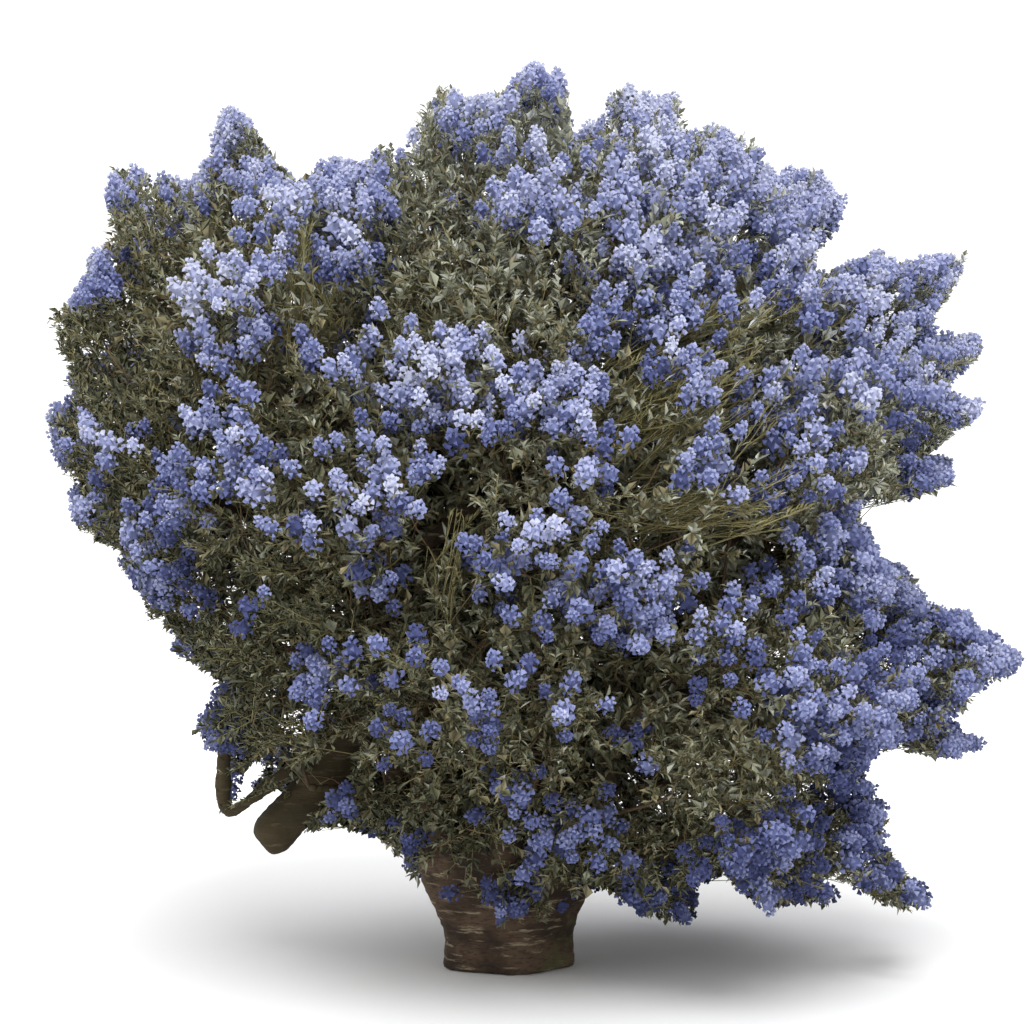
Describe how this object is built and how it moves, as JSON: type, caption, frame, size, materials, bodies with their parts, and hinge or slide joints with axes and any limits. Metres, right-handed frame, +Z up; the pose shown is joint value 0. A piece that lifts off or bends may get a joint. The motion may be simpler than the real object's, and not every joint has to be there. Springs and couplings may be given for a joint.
{
  "type": "ceanothus shrub",
  "caption": "Rounded evergreen shrub in blue blossom on a short stout trunk that forks low into spreading boughs, with a pruned limb hanging at the left.",
  "frame": {"origin": "centre of the flat cut under the trunk, at ground level", "axes": "+Z up; the front of the shrub faces -Y; +X is to the right seen from the front"},
  "size_m": [2.4964, 2.2199, 2.2746],
  "materials": {
    "bark": "rough fissured bark",
    "leaf": "small dark leaves",
    "blossom": "soft fluffy flower heads over dark leaves"
  },
  "bodies": {
    "root": {"bough_back": "bark", "bough_front": "bark", "bough_left": "bark", "bough_left_back": "bark", "bough_left_front": "bark", "bough_right_back": "bark", "bough_right_front": "bark", "bough_right_low": "bark", "leader_back": "bark", "leader_front": "bark", "leader_left": "bark", "leader_right": "bark", "leader_top": "bark", "low_1": "blossom", "low_2": "blossom", "low_3": "blossom", "low_4": "blossom", "low_5": "blossom", "low_6": "leaf", "low_7": "blossom", "low_8": "blossom", "middle_1": "blossom", "middle_2": "blossom", "middle_3": "blossom", "middle_4": "blossom", "middle_5": "blossom", "middle_6": "leaf", "middle_7": "blossom", "middle_8": "blossom", "middle_9": "leaf", "pruned_limb": "bark", "shoulder_1": "blossom", "shoulder_2": "blossom", "shoulder_3": "blossom", "shoulder_4": "blossom", "shoulder_5": "leaf", "shoulder_6": "blossom", "shoulder_7": "blossom", "shoulder_8": "blossom", "skirt_1": "blossom", "skirt_2": "blossom", "skirt_3": "blossom", "skirt_4": "leaf", "skirt_5": "leaf", "skirt_6": "leaf", "skirt_7": "blossom", "skirt_8": "blossom", "top_1": "blossom", "top_2": "blossom", "top_3": "blossom", "top_4": "blossom", "trunk": "bark", "upper_1": "blossom", "upper_2": "blossom", "upper_3": "blossom", "upper_4": "leaf", "upper_5": "blossom", "upper_6": "blossom"}
  },
  "joints": []
}
